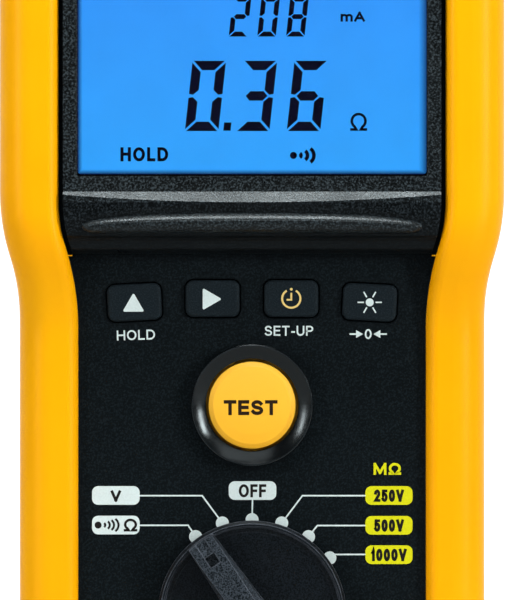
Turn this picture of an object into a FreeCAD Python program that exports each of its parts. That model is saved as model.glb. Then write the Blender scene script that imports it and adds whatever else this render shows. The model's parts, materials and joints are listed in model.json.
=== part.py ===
"""Insulation resistance tester, one STEP file per sub-part.

Millimetres, +Z up along the case, the face looks towards -Y, origin under the middle of the base.
"""
import FreeCAD, Part
import math
import os

V = FreeCAD.Vector

# Driving dimensions of the case.
LENGTH = 211.0
HEAD_HALF = 54.0
GRIP_HALF = 49.95
WAIST_LOW = 116.5
WAIST_HIGH = 143.5
BASE_CORNER = 20.0
TOP_CORNER = 18.0
SPLIT_Y = 2.0
SKIN = 3.0
WALL = 2.4
LIP = 12.7
LIP_ROUND = 2.6
REAR_LIP = 10.7

# Levels through the thickness, front to back.
GRIP_FRONT = -22.5
HEAD_FRONT = -27.5
RISE_LOW = 113.0
RISE_HIGH = 138.0
PANEL_Y = -19.5
PANEL_IN = -17.0
BEZEL_Y = -27.0
HEAD_SEAT = -22.0
HEAD_IN = -19.6
BOARD_Y = -12.6
BOARD_BACK = -11.0
REAR_IN = 23.0
COVER_SEAT = 25.0
REAR_UNDER = 25.5
REAR_RAISED = 28.0
BUMPER_BACK = 28.5
FEET_Y = 30.0

# Face layout.
HOOD_Z = 130.4
RIDGE_Z = 143.5
RIDGE_FRONT = -28.7
RIDGE_FOOT = 141.2
RIDGE_SWEEP_R = 672.0
HOOD_SLOPE = 0.3
HOOD_TURN = 134.15
SURROUND_TOP_GAP = 0.25
SURROUND_SIDE_GAP = 1.0
BEAD_HALF = 36.4
BEAD_LOW = 134.45
BEAD_BULGE = 2.45
BEAD_STRAIGHT = 33.0
BEAD_END_ROUND = 3.4
BEAD_END_LIFT = 1.8
BEAD_TOP_AT_ENDS = 136.4
BEAD_TOP_RISE = 2.65
BEAD_TOP_POWER = 2.4
BEAD_MID_HEIGHT = 4.6
BEAD_THINNING = 0.9
BEAD_STATIONS = (-36.2, -35.4, -34.0, -31.0, -25.0, -14.0, 0.0, 14.0, 25.0, 31.0, 34.0, 35.4, 36.2)
WINDOW_HALF = 37.2
WINDOW_LOW = 147.2
WINDOW_HIGH = 197.4
GLASS_HALF = 38.2
GLASS_LOW = 142.0
PANE_LOW = 146.0
PANE_FRONT = -26.2
PANE_BACK = -25.0
GLASS_HIGH = 197.9
KNOB_Z = 53.0
KNOB_R = 20.2
KNOB_REST = 35.0
BAR_TOP = -30.0
BAR_SHOULDER = -28.3
BAR_CROWN_R = 200.0
DETENT_STEP = 18.0
TEST_Z = 97.9
TEST_R = 9.3
RING_R = 13.1
RING_BORE = 9.95
KEYS = (
    ("key_up", -25.2, 119.9, 3.0),
    ("key_right", -8.45, 120.7, 0.0),
    ("key_timer", 8.4, 120.7, 0.0),
    ("key_light", 25.2, 119.9, -3.0),
)
KEY_W = 11.6
KEY_H = 7.9
KEY_GAP = 0.3

# Battery bay and back.
CELL_R = 7.1
CELL_PITCH = 14.9
CELL_Z = 22.5
CELL_Y = 15.8
CELL_COUNT = 6
BAY_LOW = CELL_Z - 0.7
BAY_HIGH = CELL_Z + CELL_COUNT * CELL_PITCH + 0.7
COVER_HALF = 36.0
COVER_LOW = 12.5
COVER_HIGH = 122.5
COVER_SCREWS = [(x, z) for z in (15.9, 118.9) for x in (-27.0, 27.0)]
STAND_HALF = 24.6
STAND_LOW = 130.5
HINGE_Z = 188.0
HINGE_Y = 25.4
CASE_SCREWS = [(s * x, z) for x, z in ((42.4, 24.0), (42.4, 108.0), (46.4, 192.0)) for s in (-1, 1)]
BOARD_SCREWS = [(s * x, z) for x, z in ((36.0, 30.0), (36.0, 106.0), (43.5, 178.0)) for s in (-1, 1)]
SOCKET_X = 14.0
SOCKET_LOW = 187.0
SOCKET_R = 7.2
PLUG_R = 2.0
BLOCK_HALF = 25.0


# ---- small tools ---------------------------------------------------------------------------
def box(x0, x1, y0, y1, z0, z1):
    return Part.makeBox(x1 - x0, y1 - y0, z1 - z0, V(x0, y0, z0))


def rod_y(x, z, r, y0, y1):
    return Part.makeCylinder(r, y1 - y0, V(x, y0, z), V(0, 1, 0))


def rod_z(x, y, r, z0, z1):
    return Part.makeCylinder(r, z1 - z0, V(x, y, z0), V(0, 0, 1))


def rod_x(y, z, r, x0, x1):
    return Part.makeCylinder(r, x1 - x0, V(x0, y, z), V(1, 0, 0))


def ring_y(x, z, r_out, r_in, y0, y1):
    return rod_y(x, z, r_out, y0, y1).cut(rod_y(x, z, r_in, y0 - 1, y1 + 1))


def join(shapes):
    first = shapes[0]
    return first.multiFuse(shapes[1:]).removeSplitter() if len(shapes) > 1 else first


def drop(shape, cutters):
    return shape.cut(Part.makeCompound(list(cutters)))


def turned(shape, degrees, x, z):
    """Turn about an axis along Y; positive is anticlockwise seen from the front."""
    moved = shape.copy()
    moved.rotate(V(x, 0, z), V(0, 1, 0), -degrees)
    return moved


def mirrored(shape):
    return shape.mirror(V(0, 0, 0), V(1, 0, 0))


def arc(cx, cz, r, start, end):
    angles = (start, (start + end) / 2, end)
    points = [V(cx + r * math.cos(a), 0, cz + r * math.sin(a)) for a in angles]
    return Part.Arc(*points).toShape()


def line(x0, z0, x1, z1):
    return Part.makeLine(V(x0, 0, z0), V(x1, 0, z1))


def plate(wire_edges, y0, y1):
    face = Part.Face(Part.Wire(Part.__sortEdges__(wire_edges)))
    face.translate(V(0, y0, 0))
    return face.extrude(V(0, y1 - y0, 0))


def rounded(cx, cz, half_w, half_h, r, y0, y1):
    """A rounded rectangle standing along Y."""
    x0, x1, z0, z1 = cx - half_w, cx + half_w, cz - half_h, cz + half_h
    q = math.pi / 2
    edges = [
        line(x0 + r, z0, x1 - r, z0),
        arc(x1 - r, z0 + r, r, -q, 0),
        line(x1, z0 + r, x1, z1 - r),
        arc(x1 - r, z1 - r, r, 0, q),
        line(x1 - r, z1, x0 + r, z1),
        arc(x0 + r, z1 - r, r, q, 2 * q),
        line(x0, z1 - r, x0, z0 + r),
        arc(x0 + r, z0 + r, r, 2 * q, 3 * q),
    ]
    return plate(edges, y0, y1)


def side_extrusion(points, half):
    """Extrude a closed (y, z) polygon from -half to +half along X."""
    loop = [V(-half, y, z) for y, z in points]
    face = Part.Face(Part.makePolygon(loop + loop[:1]))
    return face.extrude(V(2 * half, 0, 0))


def spun(points, x, z):
    """Revolve a closed (radius, y) polygon about an axis along Y through (x, z)."""
    loop = [V(x + r, y, z) for r, y in points]
    face = Part.Face(Part.makePolygon(loop + loop[:1]))
    return face.revolve(V(x, 0, z), V(0, 1, 0), 360)


def coil(r, height, turns, wire, start, axis):
    """A round wire coil with its axis from start along axis."""
    pitch = height / turns
    path = Part.makeHelix(pitch, height, r)
    profile = Part.Wire([Part.makeCircle(wire, V(r, 0, 0), V(0, 1, 0))])
    body = Part.Wire(path.Edges).makePipeShell([profile], True, True)
    body.Placement = FreeCAD.Placement(start, FreeCAD.Rotation(V(0, 0, 1), axis))
    return body


def save(name, shapes):
    solids = shapes if isinstance(shapes, list) else [shapes]
    shape = solids[0] if len(solids) == 1 else Part.makeCompound(solids)
    shape.exportStep(os.path.join("parts", name + ".step"))


# ---- the case outline ----------------------------------------------------------------------
def outline(inset, lower=0.0):
    """Edges of the front outline, inset all round; lower shifts the waist curve down."""
    z1 = WAIST_LOW - lower
    z2 = WAIST_HIGH - lower
    step = HEAD_HALF - GRIP_HALF
    bend = ((z2 - z1) ** 2 + step ** 2) / (4 * step)
    low = (GRIP_HALF + bend, z1)
    high = (HEAD_HALF - bend, z2)
    tilt = math.atan2(high[1] - low[1], high[0] - low[0])
    xg = GRIP_HALF - inset
    xh = HEAD_HALF - inset
    zt = LENGTH - inset
    rb = BASE_CORNER - inset
    rt = TOP_CORNER - inset
    right = [
        arc(xg - rb, inset + rb, rb, -math.pi / 2, 0),
        line(xg, inset + rb, xg, z1),
        arc(low[0], low[1], bend + inset, math.pi, tilt),
        arc(high[0], high[1], bend - inset, tilt - math.pi, 0),
        line(xh, z2, xh, zt - rt),
        arc(xh - rt, zt - rt, rt, 0, math.pi / 2),
    ]
    left = [mirrored(edge) for edge in right]
    base = line(rb - xg, inset, xg - rb, inset)
    top = line(xh - rt, zt, rt - xh, zt)
    return right + left + [base, top]


def case_prism(inset, y0, y1, lower=0.0):
    return plate(outline(inset, lower), y0, y1)


def face_opening(inset, y0, y1):
    return case_prism(inset, y0, y1, 2.0)


def side_body(depth):
    """The side view of the front half, moved back by depth; the head stands further forward."""
    grip = GRIP_FRONT + depth
    head = HEAD_FRONT + depth
    rise = RISE_HIGH - RISE_LOW
    r = (rise ** 2 + (grip - head) ** 2) / (4 * (grip - head))
    low = (grip - r, RISE_LOW)
    high = (head + r, RISE_HIGH)
    tilt = math.atan2(high[1] - low[1], high[0] - low[0])
    far = LENGTH + 5
    edges = [
        line(SPLIT_Y, -5, grip, -5),
        line(grip, -5, grip, RISE_LOW),
        arc(low[0], low[1], r, 0, tilt),
        arc(high[0], high[1], r, tilt + math.pi, math.pi),
        line(head, RISE_HIGH, head, far),
        line(head, far, SPLIT_Y, far),
        line(SPLIT_Y, far, SPLIT_Y, -5),
    ]
    body = plate(edges, -80, 80)
    body.rotate(V(0, 0, 0), V(0, 0, 1), 90)
    return body


def front_body(inset, depth, lower=0.0):
    return case_prism(inset, -45, SPLIT_Y, lower).common(side_body(depth))


def round_front(shape, r):
    """Fillet the outer front edge of a filled case body."""
    return shape.makeFillet(r, [e for e in shape.Edges if is_rim(e, e.BoundBox.YMax < SPLIT_Y - 5)])


def is_rim(edge, at_end):
    """True for an edge of the end rim, leaving out the lines that cross the case from side to side."""
    bounds = edge.BoundBox
    crossing = bounds.XLength > 90 and BASE_CORNER < bounds.ZMin and bounds.ZMax < LENGTH - TOP_CORNER
    return at_end and not crossing


# ---- elastomer bumpers ---------------------------------------------------------------------
def terminal_gap():
    return box(-BLOCK_HALF, BLOCK_HALF, -10, 14, 184, LENGTH + 5)


def front_bumper():
    body = round_front(front_body(0, 0), 7.0)
    body = body.cut(front_body(SKIN, SKIN)).cut(face_opening(LIP, -50, SPLIT_Y + 1))
    body = join([round_lip(body)] + seam_tabs())
    return body.cut(terminal_gap())


def seam_tabs():
    """Two small tongues of the lip that reach in just under the hood."""
    return [box(s * 39.1 - 0.7, s * 39.1 + 0.7, -24.0, -23.6, 129.75, 130.05) for s in (-1, 1)]


def front_level(z):
    """How far forward the bumper stands at height z."""
    rise = RISE_HIGH - RISE_LOW
    step = GRIP_FRONT - HEAD_FRONT
    r = (rise ** 2 + step ** 2) / (4 * step)
    if z < (RISE_LOW + RISE_HIGH) / 2:
        climb = max(z - RISE_LOW, 0)
        return GRIP_FRONT - r + math.sqrt(r ** 2 - climb ** 2)
    left = max(RISE_HIGH - z, 0)
    return HEAD_FRONT + r - math.sqrt(r ** 2 - left ** 2)


def round_lip(body):
    """Round the inner front edge that runs round the face opening."""
    reach = HEAD_HALF - LIP + 0.3
    lip_edges = []
    for edge in body.Edges:
        mid = edge.valueAt((edge.FirstParameter + edge.LastParameter) / 2)
        on_front = abs(mid.y - front_level(mid.z)) < 0.05
        if on_front and abs(mid.x) < reach and LIP - 0.3 < mid.z < LENGTH - LIP + 0.3:
            lip_edges.append(edge)
    return body.makeFillet(LIP_ROUND, lip_edges)


def rear_bumper():
    body = case_prism(0, SPLIT_Y, BUMPER_BACK)
    rim = [e for e in body.Edges if e.BoundBox.YMin > BUMPER_BACK - 0.1]
    body = body.makeFillet(5.0, rim)
    body = body.cut(case_prism(SKIN, SPLIT_Y - 1, REAR_UNDER)).cut(case_prism(REAR_LIP, 0, 40))
    heads = [rod_y(x, z, 3.3, 20, 30) for x, z in CASE_SCREWS]
    return drop(body, heads + [terminal_gap()])


def rear_feet():
    spots = [(s * x, z) for x, z in ((42.4, 48.0), (46.3, 168.0)) for s in (-1, 1)]
    feet = []
    for x, z in spots:
        foot = rounded(x, z, 2.6, 13.0, 2.4, BUMPER_BACK, FEET_Y)
        feet.append(foot.makeFillet(0.6, [e for e in foot.Edges if e.BoundBox.YMin > FEET_Y - 0.1]))
    return feet


# ---- front housing and what shows on the face ------------------------------------------------
def front_housing():
    shell = front_body(SKIN, SKIN)
    low_pocket = face_opening(LIP, -45, PANEL_Y).common(box(-60, 60, -45, 0, 0, HOOD_Z))
    high_pocket = face_opening(LIP, -45, HEAD_SEAT).common(box(-60, 60, -45, 0, HOOD_Z, 300))
    cavity = case_prism(SKIN + WALL, PANEL_IN, SPLIT_Y + 1)
    head_cavity = case_prism(SKIN + WALL, HEAD_IN, PANEL_IN).common(box(-60, 60, -30, 0, 133, 300))
    shell = shell.cut(low_pocket).cut(high_pocket).cut(cavity).cut(head_cavity)
    bosses = [rod_y(x, z, 3.2, PANEL_IN if z < 133 else HEAD_IN, SPLIT_Y) for x, z in CASE_SCREWS]
    posts = [rod_y(x, z, 2.6, PANEL_IN if z < 133 else HEAD_IN, BOARD_Y) for x, z in BOARD_SCREWS]
    limit = case_prism(SKIN + 0.5, -30, SPLIT_Y)
    shell = join([shell] + [piece.common(limit) for piece in bosses + posts])
    cuts = [
        box(-39, 39, -30, HEAD_IN + 0.01, GLASS_LOW - 0.8, GLASS_HIGH + 0.6),
        rod_y(0, KNOB_Z, 4.05, -25, 0),
        rod_y(0, KNOB_Z, 6.0, PANEL_Y - 1, -18.1),
        rod_y(0, TEST_Z, RING_BORE, -25, -15),
        terminal_gap(),
        gasket_groove(),
    ]
    cuts += [key_shape(name, KEY_GAP, -25, -15) for name, x, z, tilt in KEYS]
    cuts += [rod_y(x, z, 1.35, -9, SPLIT_Y + 1) for x, z in CASE_SCREWS]
    cuts += [rod_y(x, z, 1.15, -16, BOARD_Y + 1) for x, z in BOARD_SCREWS]
    return drop(shell, cuts)


def gasket_groove():
    ring = case_prism(SKIN + 0.7, 1.2, 2.8).cut(case_prism(SKIN + 1.7, 0, 4))
    return ring.cut(box(-BLOCK_HALF - 2, BLOCK_HALF + 2, -10, 14, 184, 220))


def display_surround():
    """Grained surround of the window with the hood that stands out under it."""
    opening = surround_outline()
    frame = opening.common(box(-60, 60, BEZEL_Y, 0, RIDGE_Z, 300))
    profile = [
        (HEAD_SEAT, HOOD_Z),
        (-22.6, HOOD_Z),
        (-24.0, 131.2),
        (-24.3, 131.5),
        (-24.45, 131.9),
        (-24.7, 132.4),
        (-25.15, 133.0),
        (-25.8, 133.6),
        (hood_front(HOOD_TURN), HOOD_TURN),
        (RIDGE_FRONT, RIDGE_FOOT),
        (BEZEL_Y, RIDGE_Z),
        (BEZEL_Y, RIDGE_Z + 1),
        (HEAD_SEAT, RIDGE_Z + 1),
    ]
    hood = side_extrusion(profile, 50).common(opening)
    sweep = rod_z(0, RIDGE_FRONT + RIDGE_SWEEP_R, RIDGE_SWEEP_R, 120, 160)
    hood = hood.common(sweep)
    surround = frame.fuse(hood).fuse(hood_bead()).removeSplitter()
    cz = (WINDOW_LOW + WINDOW_HIGH) / 2
    half = (WINDOW_HIGH - WINDOW_LOW) / 2
    cuts = [
        rounded(0, cz, WINDOW_HALF, half, 0.8, -40, 0),
        window_pane(),
        pane_outline(GLASS_LOW - 0.2, PANE_BACK, 0),
    ]
    surround = drop(surround, cuts)
    return bevel_window(surround)


def surround_outline():
    """Plan of the surround: a wide gap to the bumper at the sides, a narrow one along the top."""
    half = HEAD_HALF - LIP - SURROUND_SIDE_GAP
    narrow = face_opening(LIP + SURROUND_SIDE_GAP, -40, HEAD_SEAT)
    upper = box(-half, half, -40, HEAD_SEAT, WINDOW_HIGH - 20, LENGTH)
    return face_opening(LIP + SURROUND_TOP_GAP, -40, HEAD_SEAT).common(narrow.fuse(upper))


def bevel_window(surround):
    """Bevel the window's front edge: from its upright sides the bevel runs on round the rounded corners."""
    rim = []
    for edge in surround.Edges:
        bounds = edge.BoundBox
        at_front = bounds.YMax < BEZEL_Y + 0.01
        inside = bounds.XMin > -WINDOW_HALF - 0.1 and bounds.XMax < WINDOW_HALF + 0.1
        upright = bounds.ZLength > WINDOW_HIGH - WINDOW_LOW - 2
        if at_front and inside and upright:
            rim.append(edge)
    return surround.makeChamfer(0.35, rim)


def hood_front(z):
    """Depth of the hood's flat face at height z."""
    return RIDGE_FRONT + (RIDGE_FOOT - z) * HOOD_SLOPE


def hood_bead():
    """A raised bead across the hood: rounded over along its curved top edge, steep along its straight foot."""
    rows = [bead_section(x) for x in BEAD_STATIONS]
    return Part.makeLoft(rows, True, False)


def bead_section(x):
    """Closed outline of the bead at distance x from the middle."""
    reach = max(abs(x) - BEAD_STRAIGHT, 0) / BEAD_END_ROUND
    low = BEAD_LOW + BEAD_END_LIFT * (1 - math.sqrt(1 - reach ** 2))
    high = BEAD_TOP_AT_ENDS + BEAD_TOP_RISE * math.sqrt(1 - (abs(x) / BEAD_HALF) ** BEAD_TOP_POWER)
    bulge = BEAD_BULGE * ((high - low) / BEAD_MID_HEIGHT) ** BEAD_THINNING
    shape = ((0, -0.25), (0, 0), (0.02, 0.4), (0.1, 0.68), (0.21, 0.88), (0.34, 0.99), (0.47, 1.0), (0.6, 0.94),
             (0.72, 0.77), (0.82, 0.57), (0.89, 0.36), (0.96, 0.14), (1, 0), (1, -0.25))
    loop = []
    for along, out in shape:
        z = low + (high - low) * along
        loop.append(V(x, hood_front(z) - out * bulge, z))
    return Part.makePolygon(loop + loop[:1])


def pane_outline(z_low, y0, y1):
    """Outline of the window pane and its seat, from z_low up to the top of the glass."""
    half = (GLASS_HIGH - z_low) / 2
    return rounded(0, z_low + half, GLASS_HALF, half, 2.6, y0, y1)


def window_pane():
    return pane_outline(PANE_LOW, PANE_FRONT, PANE_BACK)


def lcd_glass():
    half = (GLASS_HIGH - GLASS_LOW) / 2
    return rounded(0, GLASS_LOW + half, GLASS_HALF - 0.2, half - 0.2, 2.4, -24.2, HEAD_SEAT)


def backlight_guide():
    return box(-36.6, 36.6, HEAD_SEAT, -19.4, 147.0, 197.0)


def lcd_frame():
    outer = box(-38.6, 38.6, HEAD_SEAT, -18.4, GLASS_LOW - 0.4, GLASS_HIGH + 0.2)
    cuts = [
        box(-36.6, 36.6, -23, -19.4, 147.0, 197.0),
        box(-32.2, 32.2, -23, -18, 142.6, 145.2),
    ]
    return drop(outer, cuts)


def zebra_strip():
    return box(-32, 32, HEAD_SEAT, -18.4, 142.9, 144.9)


def display_board():
    return box(-40, 40, -18.4, -16.8, 134.0, 201.0)


def board_connector():
    block = box(-15, 15, -16.8, BOARD_Y, 135.0, 138.5)
    slots = [box(-13.5 + 3 * i, -12.0 + 3 * i, -15.5, -14.0, 134, 136) for i in range(10)]
    return drop(block, slots)


# ---- keys ------------------------------------------------------------------------------------
def key_shape(wanted, grow, y0, y1):
    for name, x, z, tilt in KEYS:
        if name == wanted:
            blank = rounded(x, z, KEY_W / 2 + grow, KEY_H / 2 + grow, 1.7 + grow, y0, y1)
            return turned(blank, tilt, x, z)


def key(name, x, z, tilt):
    cap = key_shape(name, 0, -20.7, PANEL_IN)
    top = [e for e in cap.Edges if e.BoundBox.YMax < -20.6]
    cap = cap.makeFillet(0.7, top)
    flange = key_shape(name, 0.9, -16.9, -16.3)
    neck = key_shape(name, 0, PANEL_IN, -16.9)
    pill = rod_y(x, z, 1.6, -16.3, -13.9)
    return join([cap, neck, flange, pill])


def keypad_mat():
    mat = rounded(0, 120.3, 34, 7.4, 2, -13.2, BOARD_Y)
    return drop(mat, [rod_y(x, z, 2.4, -15, -12) for name, x, z, tilt in KEYS])


def key_domes():
    wall = [(3.2, -16.3), (3.7, -16.3), (4.8, -13.2), (4.2, -13.2)]
    return [spun(wall, x, z) for name, x, z, tilt in KEYS]


# ---- test button -----------------------------------------------------------------------------
def test_button():
    profile = [
        (0, -23.1),
        (3.5, -23.04),
        (6.3, -22.86),
        (8.3, -22.6),
        (TEST_R, -21.9),
        (TEST_R, -16.9),
        (11.0, -16.9),
        (11.0, -16.1),
        (2.0, -16.1),
        (2.0, -15.75),
        (0, -15.75),
    ]
    return spun(profile, 0, TEST_Z)


def test_guard_ring():
    """A raised rim round the button, dished on its inner side."""
    crest = 12.6
    depth = 1.35
    profile = [(RING_BORE, PANEL_Y), (RING_R, PANEL_Y), (RING_R, -22.1), (12.98, -22.4), (12.8, -22.53)]
    for i in range(11):
        t = i / 10
        profile.append((crest - (crest - RING_BORE) * t, -22.5 + depth * (1.3 * t - 0.3 * t ** 2)))
    return spun(profile, 0, TEST_Z)


def test_button_spring():
    return coil(7.5, 2.7, 2.5, 0.35, V(0, -15.7, TEST_Z), V(0, 1, 0))


def test_switch():
    body = rounded(0, TEST_Z, 3.0, 3.0, 0.4, -14.1 + 0.3, BOARD_Y)
    return join([body, rod_y(0, TEST_Z, 1.75, -14.1, -13.7)])


# ---- rotary switch -----------------------------------------------------------------------------
def rotary_knob():
    disc = spun([(0, -20.0), (19.6, -20.0), (KNOB_R, -20.6), (KNOB_R, -23.3), (19.6, -24.0), (19.0, -24.0),
                 (18.8, -23.0), (17.8, -22.8), (0, -22.8)], 0, KNOB_Z)
    shaft = rod_y(0, KNOB_Z, 4.0, -20.0, -13.2)
    knob = join([disc, grip_bar(), shaft])
    return turned(knob.cut(pointer_ramp()), KNOB_REST, 0, KNOB_Z)


def grip_bar():
    """The bar across the knob: crowned, widest in the middle, with facets that narrow towards both ends."""
    shoulder = bar_outline(3.0, 3.85, BAR_SHOULDER)
    top = bar_outline(2.85, 2.5, BAR_TOP)
    wall = Part.Face(shoulder).extrude(V(0, -20.0 - BAR_SHOULDER, 0))
    crown = Part.makeLoft([shoulder, top], True, True)
    bar = wall.fuse(crown).common(rod_y(0, KNOB_Z, 19.4, -31, -20))
    return bar.common(rod_x(BAR_TOP + BAR_CROWN_R, KNOB_Z, BAR_CROWN_R, -10, 10))


def bar_outline(tip, middle, y):
    """Closed outline of the bar at depth y, from its half widths at the tips and in the middle."""
    corners = [(-tip, 20), (tip, 20), (middle, 0), (tip, -20), (-tip, -20), (-middle, 0)]
    loop = [V(x, y, KNOB_Z + z) for x, z in corners]
    return Part.makePolygon(loop + loop[:1])


def pointer_ramp():
    """A sloping groove from the tip of the bar, ending in a small square pit."""
    start = KNOB_Z + 20
    end = KNOB_Z + 15.9
    ramp = side_extrusion([(-31, start), (-28.2, start), (-29.3, end), (-31, end)], 1.15)
    pit = box(-1.2, 1.2, -31, -28.0, KNOB_Z + 13.5, end)
    return ramp.fuse(pit)


def knob_clip():
    return ring_y(0, KNOB_Z, 6.4, 4.0, -16.9, -16.3)


def knob_seal():
    return ring_y(0, KNOB_Z, 6.0, 4.05, -19.3, -18.1)


def detent_ring():
    ring = ring_y(0, KNOB_Z, 21.0, 18.2, PANEL_IN, -13.7)
    notches = []
    for i in range(20):
        a = math.radians(i * DETENT_STEP)
        notches.append(rod_y(18.3 * math.cos(a), KNOB_Z + 18.3 * math.sin(a), 1.1, -18, -13))
    return drop(ring, notches)


def detent_spots():
    angles = [math.radians(KNOB_REST), math.radians(KNOB_REST + 180)]
    return [V(math.cos(a), 0, math.sin(a)) for a in angles]


def switch_rotor():
    disc = ring_y(0, KNOB_Z, 16.4, 4.0, -16.2, -13.6)
    return drop(disc, [Part.makeCylinder(1.05, 7, V(0, -14.9, KNOB_Z) + d * 11, d) for d in detent_spots()])


def detent_balls():
    return [Part.makeSphere(1.0, V(0, -14.9, KNOB_Z) + d * 16.9) for d in detent_spots()]


def detent_springs():
    return [coil(0.7, 4.0, 6, 0.14, V(0, -14.9, KNOB_Z) + d * 11.5, d) for d in detent_spots()]


def switch_wipers():
    wipers = []
    for r in (8.0, 11.0, 14.0):
        for side in (0, 180):
            pad = box(-1.2, 1.2, -13.6, -12.85, KNOB_Z + r - 0.7, KNOB_Z + r + 0.7)
            wipers.append(turned(pad, KNOB_REST + side, 0, KNOB_Z))
    return wipers


def switch_tracks():
    rings = [ring_y(0, KNOB_Z, r + 1.0, r - 1.0, -12.7, BOARD_Y) for r in (8.0, 11.0, 14.0)]
    gap = box(-0.4, 0.4, -14, -12, KNOB_Z - 20, KNOB_Z + 20)
    return [ring.cut(turned(gap, 45, 0, KNOB_Z)) for ring in rings]


# ---- boards and electronics ----------------------------------------------------------------------
def main_board():
    board = case_prism(6.2, BOARD_Y, BOARD_BACK).common(box(-60, 60, -20, 0, 9, 184))
    notches = [rod_y(x, z, 3.8, -20, 0) for x, z in CASE_SCREWS]
    holes = [rod_y(x, z, 1.3, -20, 0) for x, z in BOARD_SCREWS]
    return drop(board, notches + holes)


def board_screws():
    screws = []
    for x, z in BOARD_SCREWS:
        screw = rod_y(x, z, 1.15, -15.5, BOARD_BACK).fuse(rod_y(x, z, 2.3, BOARD_BACK, -9.5))
        screws.append(screw.cut(box(x - 1.5, x + 1.5, -10.2, -9, z - 0.3, z + 0.3)))
    return screws


def transformer_core():
    core = box(-30, -8, -8.5, 0.5, 68, 86)
    windows = [box(-26.5, -21.5, -12, 4, 71.5, 82.5), box(-16.5, -11.5, -12, 4, 71.5, 82.5)]
    return drop(core, windows)


def transformer_winding():
    block = box(-26.3, -11.7, BOARD_BACK, 2.9, 71.7, 82.3)
    block = block.makeFillet(2.0, [e for e in block.Edges if e.BoundBox.ZLength > 10])
    return block.cut(box(-21.5, -16.5, -8.5, 0.5, 71, 83))


def relays():
    spots = ((10.0, 92.0), (24.0, 92.0), (10.0, 68.0))
    return [rounded(x, z, 5.2, 10.0, 0.6, BOARD_BACK, 0.0) for x, z in spots]


def capacitors():
    spots = ((-34.0, 52.0), (-22.0, 52.0), (-10.0, 34.0), (34.0, 132.0))
    cans = []
    for x, z in spots:
        can = rod_y(x, z, 5.0, BOARD_BACK, 2.5)
        cans.append(can.makeFillet(0.7, [e for e in can.Edges if e.BoundBox.YMin > 2.4]))
    return cans


def integrated_circuits():
    spots = ((0, 150, 7, 7), (18, 150, 4.5, 6), (22, 118, 5, 4), (-4, 122, 6, 4), (24, 40, 4, 6), (4, 20, 6, 4))
    return [box(x - w, x + w, BOARD_BACK, -9.4, z - h, z + h) for x, z, w, h in spots]


def buzzer():
    can = rod_y(-28, 140, 7.5, BOARD_BACK, -4.5)
    return can.cut(rod_y(-28, 140, 1.0, -7, -4))


def fuse():
    return rod_z(-12, -5.5, 3.1, 140, 170)


def fuse_clips():
    clips = []
    for z in (141, 165):
        block = box(-15.9, -8.1, BOARD_BACK, -4.0, z, z + 4)
        clips.append(block.cut(rod_z(-12, -5.5, 3.12, z - 1, z + 5)))
    return clips


# ---- rear housing, battery, stand ---------------------------------------------------------------
def rear_housing():
    shell = case_prism(SKIN, SPLIT_Y, REAR_UNDER).fuse(case_prism(REAR_LIP, REAR_UNDER, REAR_RAISED))
    shell = shell.cut(case_prism(SKIN + WALL, SPLIT_Y - 1, REAR_IN))
    limit = case_prism(SKIN + 0.5, SPLIT_Y, REAR_UNDER)
    parts = [rod_y(x, z, 3.2, SPLIT_Y, REAR_UNDER).common(limit) for x, z in CASE_SCREWS]
    parts += [rod_y(x, z, 3.2, 14, REAR_IN + 1) for x, z in COVER_SCREWS]
    parts += [box(-31, 31, 20.8, REAR_IN + 1, 125, 196)]
    shell = join([shell] + parts)
    cuts = [
        rounded(0, (COVER_LOW + COVER_HIGH) / 2, COVER_HALF + 0.25, (COVER_HIGH - COVER_LOW) / 2 + 0.25,
                6.25, COVER_SEAT, 40),
        box(-30, 30, 18, 30, BAY_LOW, BAY_HIGH),
        stand_recess(),
        seal_ring(),
        gasket_groove(),
        terminal_gap(),
    ]
    cuts += [rod_y(x, z, 1.55, 15, 30) for x, z in COVER_SCREWS]
    cuts += [rod_y(x, z, 1.7, 0, 30) for x, z in CASE_SCREWS]
    cuts += [rod_y(x, z, 3.0, 20, 30) for x, z in CASE_SCREWS]
    return drop(shell, cuts)


def seal_ring():
    mid = (BAY_LOW + BAY_HIGH) / 2
    half = (BAY_HIGH - BAY_LOW) / 2
    outer = rounded(0, mid, 32.9, half + 2.3, 2.5, 24.2, COVER_SEAT)
    return outer.cut(rounded(0, mid, 31.6, half + 1.1, 1.5, 23, 26))


def battery_holder():
    low = BAY_LOW - 1.2
    high = BAY_HIGH + 1.2
    tray = box(-31.5, 31.5, 6.2, REAR_IN, low, high)
    cuts = [box(-28.6, 28.6, CELL_Y, 30, BAY_LOW, BAY_HIGH)]
    cuts += [rod_x(CELL_Y, cell_z(i), CELL_R + 0.3, -28.6, 28.6) for i in range(CELL_COUNT)]
    return drop(tray, cuts)


def cell_z(i):
    return CELL_Z + CELL_PITCH * (i + 0.5)


def plus_side(i):
    return 1 if i % 2 == 0 else -1


def battery_cells():
    cells = []
    for i in range(CELL_COUNT):
        can = rod_x(CELL_Y, cell_z(i), CELL_R, -25.2, 24.2)
        can = can.makeFillet(0.6, [e for e in can.Edges if e.BoundBox.XLength < 0.1])
        cell = can.fuse(rod_x(CELL_Y, cell_z(i), 2.7, 24.0, 25.2))
        cells.append(cell if plus_side(i) > 0 else mirrored(cell))
    return cells


def cone_spring(start, axis):
    """A conical contact spring: rings that shrink towards the cell, tied by short links."""
    wire = 0.32
    rings = [Part.makeTorus(3.8 - 0.6 * i, wire, V(0, 0, wire + 0.75 * i), V(0, 0, 1)) for i in range(4)]
    links = []
    for i in range(3):
        a = math.radians(120 * i)
        low = V((3.8 - 0.6 * i) * math.cos(a), (3.8 - 0.6 * i) * math.sin(a), wire + 0.75 * i)
        step = V(-0.6 * math.cos(a), -0.6 * math.sin(a), 0.75)
        links.append(Part.makeCylinder(wire * 0.8, step.Length, low, step))
    spring = join(rings + links)
    spring.Placement = FreeCAD.Placement(start, FreeCAD.Rotation(V(0, 0, 1), axis))
    return spring


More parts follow.
